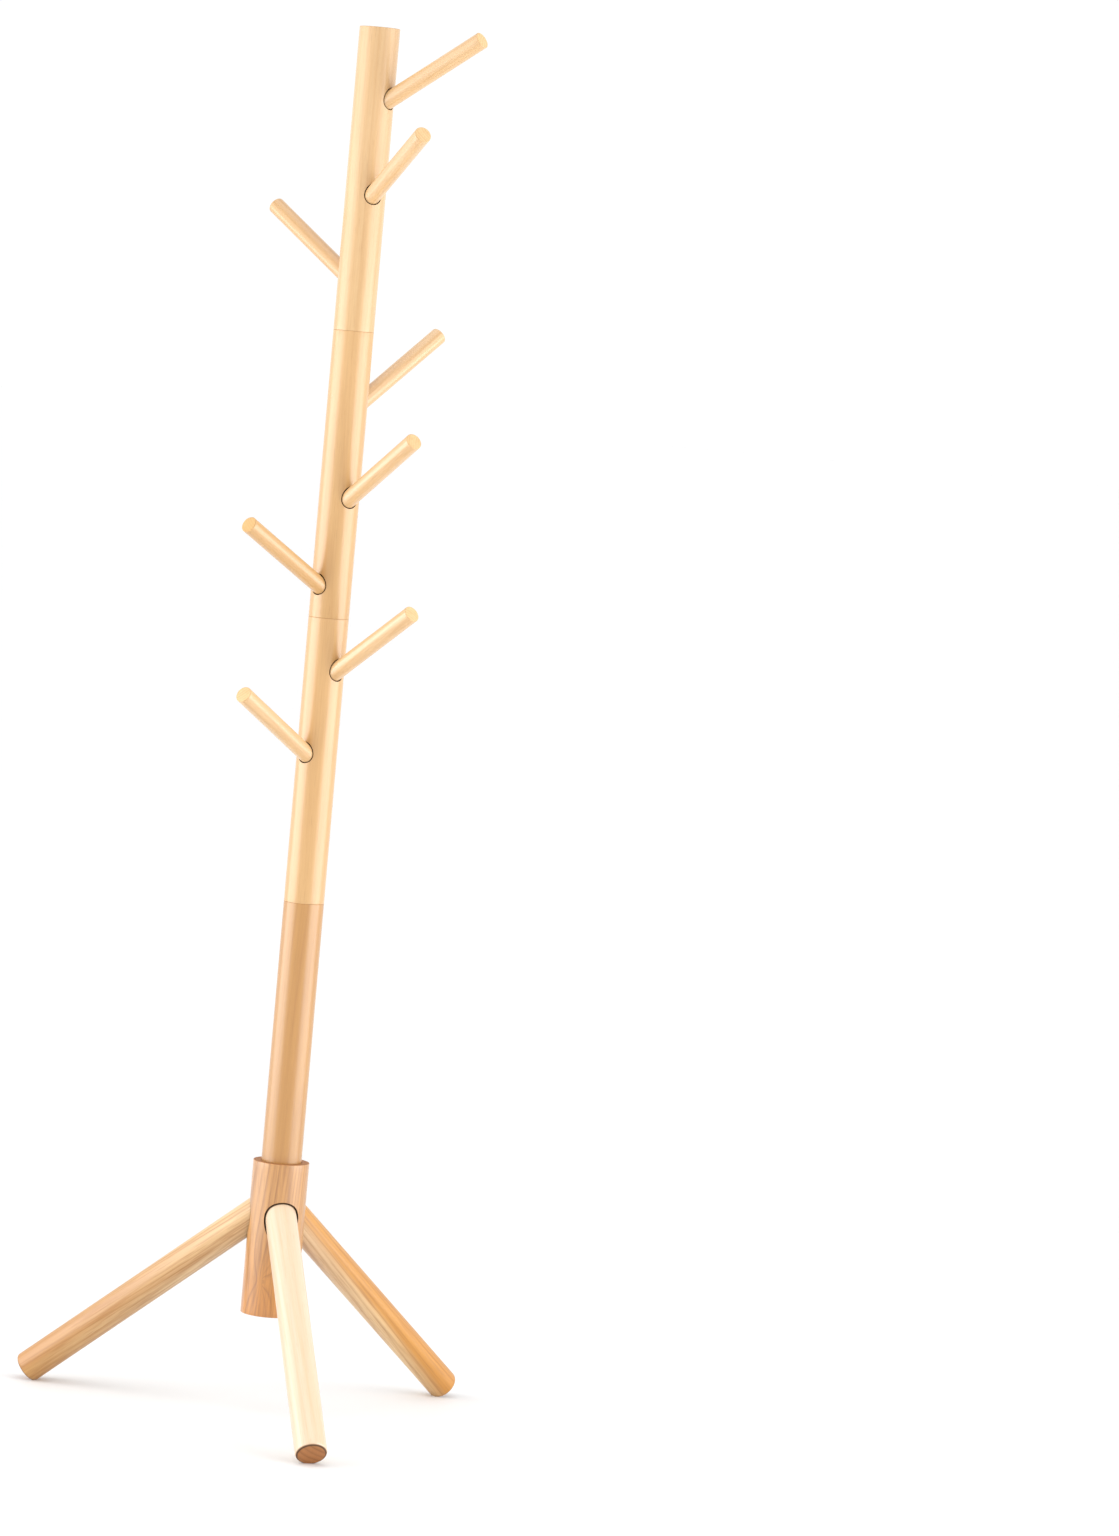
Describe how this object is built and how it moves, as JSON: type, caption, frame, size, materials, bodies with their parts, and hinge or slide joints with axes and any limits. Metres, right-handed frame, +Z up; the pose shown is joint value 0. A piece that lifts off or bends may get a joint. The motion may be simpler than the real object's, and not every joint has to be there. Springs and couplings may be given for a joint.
{
  "type": "standing coat rack",
  "caption": "Free-standing wooden coat rack: a round screwed pole with slanted round pegs, held in a hub on splayed round legs.",
  "frame": {"origin": "on the floor, directly under the pole's axis", "axes": "+Z up along the pole's axis; -Y along the front leg; the other two legs are turned 120 degrees to each side"},
  "size_m": [0.5774, 0.5054, 1.751],
  "materials": {
    "pole_wood": "clear satin varnish on pale pine",
    "hub_wood": "clear satin varnish on pinkish pine",
    "leg_wood": "clear satin varnish on pine",
    "peg_wood": "clear satin varnish on pale pine",
    "stud_steel": "zinc plated",
    "insert_brass": "plain"
  },
  "bodies": {
    "base": {"leg_hub": "hub_wood", "hub_pole_insert": "insert_brass", "hub_leg_inserts": "insert_brass"},
    "front_leg": {"leg_front": "leg_wood", "leg_front_stud": "stud_steel"},
    "right_leg": {"leg_right": "leg_wood", "leg_right_stud": "stud_steel"},
    "left_leg": {"leg_left": "leg_wood", "leg_left_stud": "stud_steel"},
    "lower_section": {"pole_lower": "pole_wood", "pole_lower_stud": "stud_steel", "pole_lower_insert": "insert_brass"},
    "middle_section": {"pole_middle": "pole_wood", "pole_middle_stud": "stud_steel", "pole_middle_insert": "insert_brass", "middle_peg_inserts": "insert_brass"},
    "upper_section": {"pole_upper": "pole_wood", "pole_upper_stud": "stud_steel", "pole_upper_insert": "insert_brass", "upper_peg_inserts": "insert_brass"},
    "top_section": {"pole_top": "pole_wood", "pole_top_stud": "stud_steel", "top_peg_inserts": "insert_brass"},
    "hanging_peg_1": {"peg_1": "peg_wood", "peg_stud_1": "stud_steel"},
    "hanging_peg_2": {"peg_2": "peg_wood", "peg_stud_2": "stud_steel"},
    "hanging_peg_3": {"peg_3": "peg_wood", "peg_stud_3": "stud_steel"},
    "hanging_peg_4": {"peg_4": "peg_wood", "peg_stud_4": "stud_steel"},
    "hanging_peg_5": {"peg_5": "peg_wood", "peg_stud_5": "stud_steel"},
    "hanging_peg_6": {"peg_6": "peg_wood", "peg_stud_6": "stud_steel"},
    "hanging_peg_7": {"peg_7": "peg_wood", "peg_stud_7": "stud_steel"},
    "hanging_peg_8": {"peg_8": "peg_wood", "peg_stud_8": "stud_steel"}
  },
  "joints": [
    {"name": "unscrew_lower_section", "type": "slide", "parent": "base", "child": "lower_section", "axis": [0, 0, 1], "range_m": [0, 0.06]},
    {"name": "unscrew_middle_section", "type": "slide", "parent": "lower_section", "child": "middle_section", "axis": [0, 0, 1], "range_m": [0, 0.03]},
    {"name": "unscrew_upper_section", "type": "slide", "parent": "middle_section", "child": "upper_section", "axis": [0, 0, 1], "range_m": [0, 0.03]},
    {"name": "unscrew_top_section", "type": "slide", "parent": "upper_section", "child": "top_section", "axis": [0, 0, 1], "range_m": [0, 0.03]},
    {"name": "unscrew_front_leg", "type": "slide", "parent": "base", "child": "front_leg", "axis": [0, -0.7716, -0.6361], "range_m": [0, 0.04]},
    {"name": "unscrew_right_leg", "type": "slide", "parent": "base", "child": "right_leg", "axis": [0.6682, 0.3858, -0.6361], "range_m": [0, 0.04]},
    {"name": "unscrew_left_leg", "type": "slide", "parent": "base", "child": "left_leg", "axis": [-0.6682, 0.3858, -0.6361], "range_m": [0, 0.04]},
    {"name": "unscrew_peg_1", "type": "slide", "parent": "top_section", "child": "hanging_peg_1", "axis": [0.5891, -0.61, 0.5299], "range_m": [0, 0.035]},
    {"name": "unscrew_peg_2", "type": "slide", "parent": "top_section", "child": "hanging_peg_2", "axis": [0.1801, -0.8471, 0.5], "range_m": [0, 0.035]},
    {"name": "unscrew_peg_3", "type": "slide", "parent": "top_section", "child": "hanging_peg_3", "axis": [-0.4793, 0.7106, 0.515], "range_m": [0, 0.035]},
    {"name": "unscrew_peg_4", "type": "slide", "parent": "upper_section", "child": "hanging_peg_4", "axis": [0.6985, 0.3872, 0.6018], "range_m": [0, 0.035]},
    {"name": "unscrew_peg_5", "type": "slide", "parent": "upper_section", "child": "hanging_peg_5", "axis": [0.3177, -0.7863, 0.5299], "range_m": [0, 0.035]},
    {"name": "unscrew_peg_6", "type": "slide", "parent": "upper_section", "child": "hanging_peg_6", "axis": [-0.7233, -0.5064, 0.4695], "range_m": [0, 0.035]},
    {"name": "unscrew_peg_7", "type": "slide", "parent": "middle_section", "child": "hanging_peg_7", "axis": [0.427, -0.7106, 0.5592], "range_m": [0, 0.035]},
    {"name": "unscrew_peg_8", "type": "slide", "parent": "middle_section", "child": "hanging_peg_8", "axis": [-0.67, -0.5622, 0.4848], "range_m": [0, 0.035]}
  ]
}
